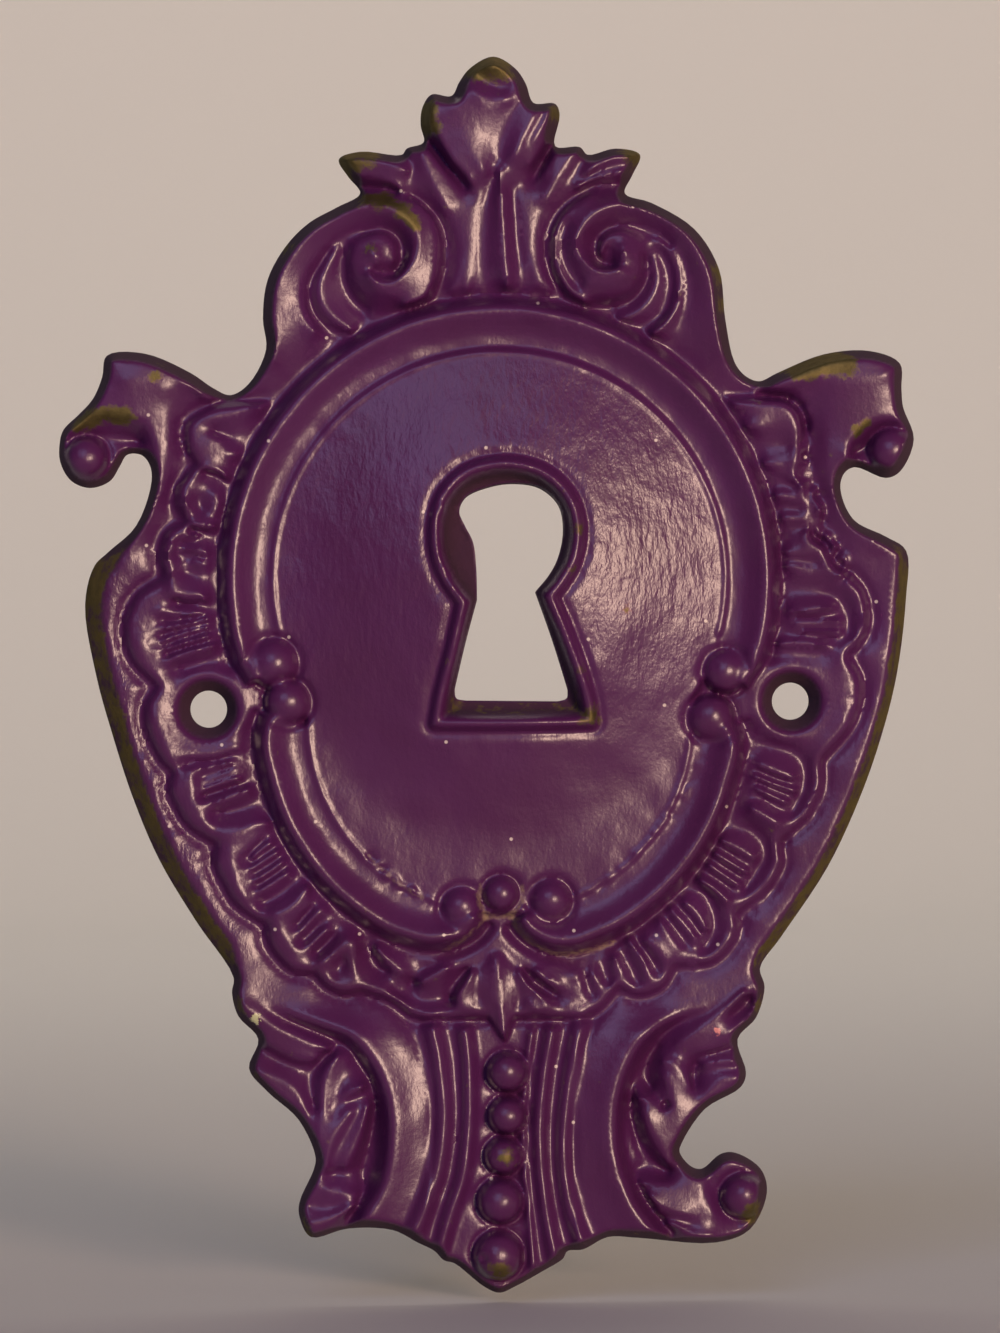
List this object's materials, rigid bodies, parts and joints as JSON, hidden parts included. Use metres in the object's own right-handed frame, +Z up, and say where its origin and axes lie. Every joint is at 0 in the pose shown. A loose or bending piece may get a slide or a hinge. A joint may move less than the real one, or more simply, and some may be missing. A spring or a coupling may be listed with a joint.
{
  "type": "keyhole escutcheon",
  "caption": "Cast brass keyhole escutcheon in the rococo manner: domed boss with rimmed keyhole, fluted shell band, scrolled crest and beaded foot, thickly painted purple and worn.",
  "frame": {"origin": "on the flat back, midway between the two screw holes", "axes": "+Z up as it is fixed on the furniture, +X to the right seen from the front, -Y out of the front"},
  "size_m": [0.0554, 0.0066, 0.0799],
  "materials": {
    "painted_brass": "thick glossy purple brush paint over cast brass, rubbed through at the edges"
  },
  "bodies": {
    "root": {"escutcheon_plate": "painted_brass"}
  },
  "joints": []
}
